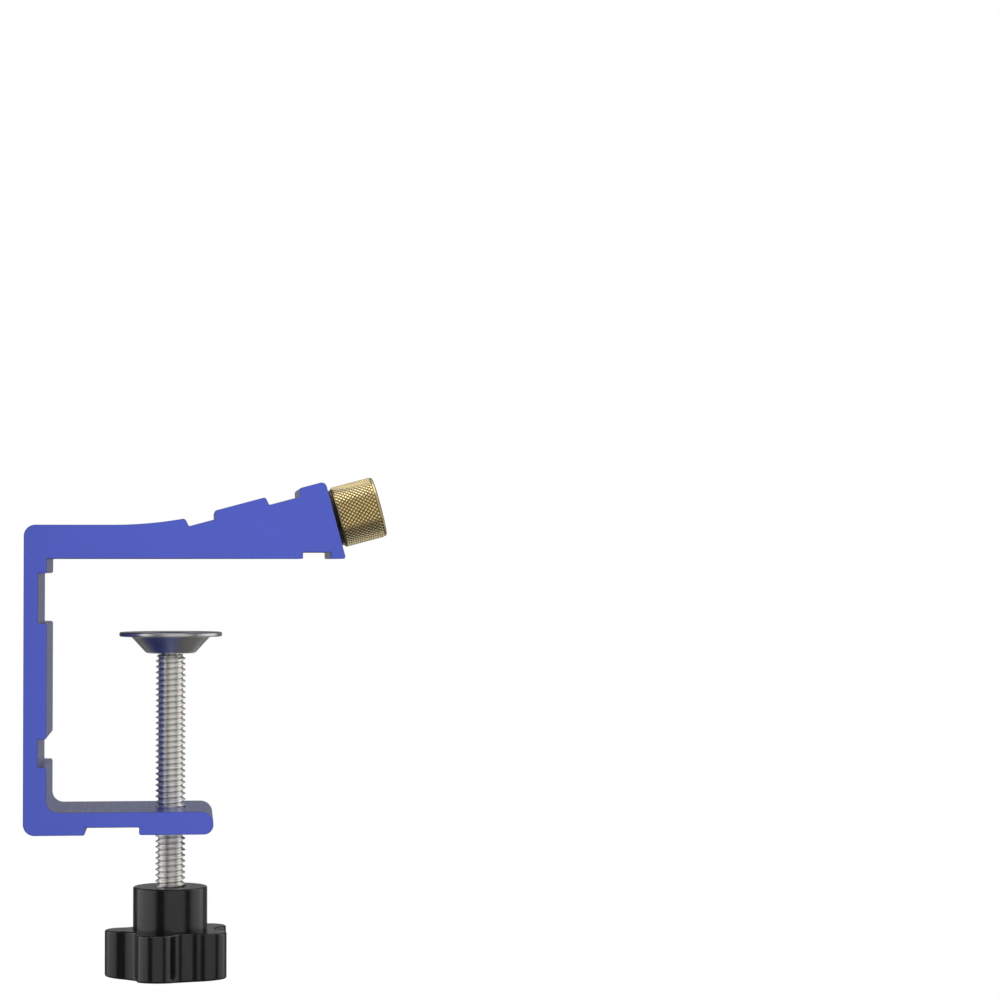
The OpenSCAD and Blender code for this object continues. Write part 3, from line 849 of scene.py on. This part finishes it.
class JIG_OT_stage(bpy.types.Operator):
    """Makes the floor, the light and the camera"""
    bl_idname = "jig.stage"
    bl_label = "Stage"

    def execute(self, context):
        look = context.scene.jig_stage
        context.scene.view_settings.view_transform = "Standard"
        self.floor(look)
        self.world(context, look)
        for name, row in SOFTBOXES.items():
            self.softbox(name, *row)
        for name, row in CARDS.items():
            self.card(name, *row)
        self.camera(context, look)
        return {"FINISHED"}

    def floor(self, look):
        """White floor that keeps the shadow near the object and fades to plain white further out."""
        centre = (MIDDLE.x, 0, look.floor_z)
        # The shadow starts to fade at the first distance and is gone at the second
        shadow_r = 0.2
        plain_r = 0.7
        # Grey of the lit paper, and the light that it lacks to be white
        paper_grey = (0.8, 0.8, 0.8, 1)
        glow_strength = 0.22
        deselect()
        bpy.ops.mesh.primitive_circle_add(
            vertices=96, radius=look.floor_r, fill_type="NGON", location=centre)
        obj = bpy.context.object
        obj.name = "floor"
        bpy.ops.object.transform_apply(location=True)
        material, tree, output = new_material("white_paper")
        coords = add_node(tree, "ShaderNodeTexCoord")
        away = add_node(tree, "ShaderNodeVectorMath", [
            (0, coords.outputs["Object"]), (1, centre)], operation="DISTANCE")
        far = add_node(tree, "ShaderNodeMapRange", [
            ("Value", away.outputs["Value"]), ("From Min", shadow_r), ("From Max", plain_r)],
            interpolation_type="SMOOTHSTEP")
        paper = add_node(tree, "ShaderNodeBsdfDiffuse", [("Color", paper_grey)])
        glow = add_node(tree, "ShaderNodeEmission", [
            ("Color", tuple(look.white)), ("Strength", glow_strength)])
        lit = add_node(tree, "ShaderNodeAddShader", [(0, paper.outputs[0]), (1, glow.outputs[0])])
        plain = add_node(tree, "ShaderNodeEmission", [("Color", tuple(look.white)), ("Strength", 1)])
        fade = add_node(tree, "ShaderNodeMixShader", [
            (0, far.outputs[0]), (1, lit.outputs[0]), (2, plain.outputs[0])])
        mix = add_node(tree, "ShaderNodeMixShader", [
            (0, self.seen(tree)), (1, paper.outputs[0]), (2, fade.outputs[0])])
        # From below the floor is clear, so that it never hides the object
        side = add_node(tree, "ShaderNodeNewGeometry")
        clear = add_node(tree, "ShaderNodeBsdfTransparent")
        one_sided = add_node(tree, "ShaderNodeMixShader", [
            (0, side.outputs["Backfacing"]), (1, mix.outputs[0]), (2, clear.outputs[0])])
        tree.links.new(one_sided.outputs[0], output.inputs["Surface"])
        obj.data.materials.append(material)

    def seen(self, tree):
        """One for rays from the camera and for mirrored or refracted ones, nothing for soft light."""
        path = add_node(tree, "ShaderNodeLightPath")
        direct = add_node(tree, "ShaderNodeMath", [
            (0, path.outputs["Is Camera Ray"]), (1, path.outputs["Is Glossy Ray"])], operation="MAXIMUM")
        either = add_node(tree, "ShaderNodeMath", [
            (0, direct.outputs[0]), (1, path.outputs["Is Transmission Ray"])], operation="MAXIMUM")
        return either.outputs[0]

    def world(self, context, look):
        """White all round for the camera and in mirrors, and an even soft light."""
        world = bpy.data.worlds.new("studio")
        context.scene.world = world
        world.use_nodes = True
        tree = world.node_tree
        tree.nodes.clear()
        output = add_node(tree, "ShaderNodeOutputWorld")
        soft = add_node(tree, "ShaderNodeBackground", [
            ("Color", tuple(look.white)), ("Strength", look.sky)])
        plain = add_node(tree, "ShaderNodeBackground", [("Color", tuple(look.white)), ("Strength", 1)])
        mix = add_node(tree, "ShaderNodeMixShader", [
            (0, self.seen(tree)), (1, soft.outputs[0]), (2, plain.outputs[0])])
        tree.links.new(mix.outputs[0], output.inputs["Surface"])

    def around(self, azimuth, distance, rise):
        """A place round the object and its turn towards the middle."""
        angle = math.radians(azimuth)
        place = MIDDLE + Vector((math.sin(angle) * distance, -math.cos(angle) * distance, rise))
        return place, (MIDDLE - place).to_track_quat("-Z", "Y").to_euler()

    def softbox(self, name, azimuth, distance, rise, size, watts):
        """Soft light that faces the middle of the object."""
        deselect()
        place, turned = self.around(azimuth, distance, rise)
        bpy.ops.object.light_add(type="AREA", location=place, rotation=turned)
        light = bpy.context.object
        light.name = name
        light.data.shape = "RECTANGLE"
        light.data.size = size[0]
        light.data.size_y = size[1]
        light.data.energy = watts
        light.visible_camera = False

    def card(self, name, azimuth, distance, rise, size, hex_colour):
        """Matt card that shows in mirrored light only, as studio cards give gloss its dark bands."""
        deselect()
        place, turned = self.around(azimuth, distance, rise)
        bpy.ops.mesh.primitive_plane_add(size=1, location=place, rotation=turned)
        obj = bpy.context.object
        obj.name = name
        obj.scale = (size[0], size[1], 1)
        bpy.ops.object.transform_apply(location=True, rotation=True, scale=True)
        material, tree, output = new_material(name)
        board = add_node(tree, "ShaderNodeBsdfDiffuse", [("Color", linear(hex_colour))])
        tree.links.new(board.outputs[0], output.inputs["Surface"])
        obj.data.materials.append(material)
        for kind in ("camera", "diffuse", "transmission", "shadow"):
            setattr(obj, "visible_" + kind, False)

    def camera(self, context, look):
        """Camera at the photograph's place, turned to its frame."""
        deselect()
        bpy.ops.object.camera_add(location=look.eye, rotation=(math.pi / 2 + look.pitch, 0, -look.yaw))
        camera = bpy.context.object
        camera.name = "camera"
        camera.data.sensor_width = 36
        camera.data.lens = look.lens
        camera.data.clip_start = 0.01
        context.scene.camera = camera


class JIG_PT_panel(bpy.types.Panel):
    """Lists the pieces of the jig and their sizes"""
    bl_idname = "JIG_PT_panel"
    bl_label = "Pocket hole jig"
    bl_space_type = "VIEW_3D"
    bl_region_type = "UI"
    bl_category = "Jig"

    def draw(self, context):
        for operator in OPERATORS:
            self.layout.operator(operator.bl_idname)
        for key, group in LOOKS.items():
            box = self.layout.box()
            box.label(text=group.__doc__)
            for name in group.__annotations__:
                box.prop(getattr(context.scene, key), name)


OPERATORS = [
    JIG_OT_clamp_frame, JIG_OT_drill_bush, JIG_OT_clamp_screw, JIG_OT_knob, JIG_OT_swivel_pad,
    JIG_OT_retaining_washer, JIG_OT_stage,
]


def register():
    """Adds the settings, the operators and the panel."""
    for key, group in LOOKS.items():
        bpy.utils.register_class(group)
        setattr(bpy.types.Scene, key, PointerProperty(type=group))
    for operator in OPERATORS:
        bpy.utils.register_class(operator)
    bpy.utils.register_class(JIG_PT_panel)


def unregister():
    """Takes them away again, last one first."""
    bpy.utils.unregister_class(JIG_PT_panel)
    for operator in reversed(OPERATORS):
        bpy.utils.unregister_class(operator)
    for key, group in reversed(LOOKS.items()):
        delattr(bpy.types.Scene, key)
        bpy.utils.unregister_class(group)


def main():
    """Makes all the pieces and the stage."""
    register()
    bpy.ops.jig.clamp_frame()
    bpy.ops.jig.drill_bush()
    bpy.ops.jig.clamp_screw()
    bpy.ops.jig.knob()
    bpy.ops.jig.swivel_pad()
    bpy.ops.jig.retaining_washer()
    bpy.ops.jig.stage()


if __name__ == "__main__":
    main()
